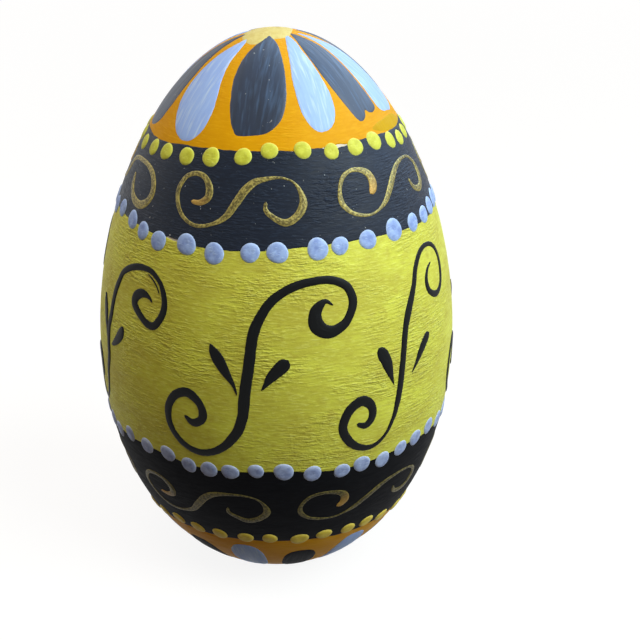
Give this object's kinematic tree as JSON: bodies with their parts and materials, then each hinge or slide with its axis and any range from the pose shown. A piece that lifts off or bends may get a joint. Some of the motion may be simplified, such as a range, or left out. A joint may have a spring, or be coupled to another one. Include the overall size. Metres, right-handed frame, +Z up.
{
  "type": "painted wooden egg",
  "caption": "Turned wooden egg with a small flat base, painted in bands with scrolls, petals and raised dots, made to stand upright by itself.",
  "frame": {"origin": "middle of the flat base that the egg stands on", "axes": "+Z up along the egg's turning axis, -Y towards the front of the pattern, +X to the right as seen from the front"},
  "size_m": [0.0622, 0.0624, 0.0956],
  "materials": {
    "wood": "turned and sanded",
    "orange_paint": "satin craft paint",
    "black_paint": "satin craft paint",
    "yellow_paint": "satin craft paint with brush ridges",
    "cream_paint": "satin craft paint",
    "lilac_paint": "satin craft paint with brush streaks",
    "black_brush_paint": "satin craft paint with brush streaks",
    "gold_paint": "thin metallic craft paint",
    "yellow_dot_paint": "thick craft paint, satin",
    "lilac_dot_paint": "thick craft paint, satin"
  },
  "bodies": {
    "root": {"egg_blank": "wood", "coat_top_cap": "orange_paint", "coat_upper_band": "black_paint", "coat_wide_band": "yellow_paint", "coat_lower_band": "black_paint", "coat_bottom_cap": "orange_paint", "hub_spot": "cream_paint", "petal_top_black_1": "black_brush_paint", "petal_top_black_2": "black_brush_paint", "petal_top_black_3": "black_brush_paint", "petal_top_black_4": "black_brush_paint", "petal_top_black_5": "black_brush_paint", "petal_top_black_6": "black_brush_paint", "petal_top_lilac_1": "lilac_paint", "petal_top_lilac_2": "lilac_paint", "petal_top_lilac_3": "lilac_paint", "petal_top_lilac_4": "lilac_paint", "petal_top_lilac_5": "lilac_paint", "petal_top_lilac_6": "lilac_paint", "petal_bottom_black_1": "black_brush_paint", "petal_bottom_black_2": "black_brush_paint", "petal_bottom_black_3": "black_brush_paint", "petal_bottom_black_4": "black_brush_paint", "petal_bottom_black_5": "black_brush_paint", "petal_bottom_black_6": "black_brush_paint", "petal_bottom_black_7": "black_brush_paint", "petal_bottom_lilac_1": "lilac_paint", "petal_bottom_lilac_2": "lilac_paint", "petal_bottom_lilac_3": "lilac_paint", "petal_bottom_lilac_4": "lilac_paint", "petal_bottom_lilac_5": "lilac_paint", "petal_bottom_lilac_6": "lilac_paint", "petal_bottom_lilac_7": "lilac_paint", "vine_scroll_1": "black_brush_paint", "vine_scroll_2": "black_brush_paint", "vine_scroll_3": "black_brush_paint", "vine_scroll_4": "black_brush_paint", "vine_scroll_5": "black_brush_paint", "vine_scroll_6": "black_brush_paint", "vine_scroll_7": "black_brush_paint", "gold_scroll_upper_1": "gold_paint", "gold_scroll_upper_2": "gold_paint", "gold_scroll_upper_3": "gold_paint", "gold_scroll_upper_4": "gold_paint", "gold_scroll_upper_5": "gold_paint", "gold_scroll_upper_6": "gold_paint", "gold_scroll_lower_1": "gold_paint", "gold_scroll_lower_2": "gold_paint", "gold_scroll_lower_3": "gold_paint", "gold_scroll_lower_4": "gold_paint", "gold_scroll_lower_5": "gold_paint", "gold_scroll_lower_6": "gold_paint", "dots_row_1_yellow": "yellow_dot_paint", "dots_row_2_lilac": "lilac_dot_paint", "dots_row_3_lilac": "lilac_dot_paint", "dots_row_4_yellow": "yellow_dot_paint"}
  },
  "joints": []
}
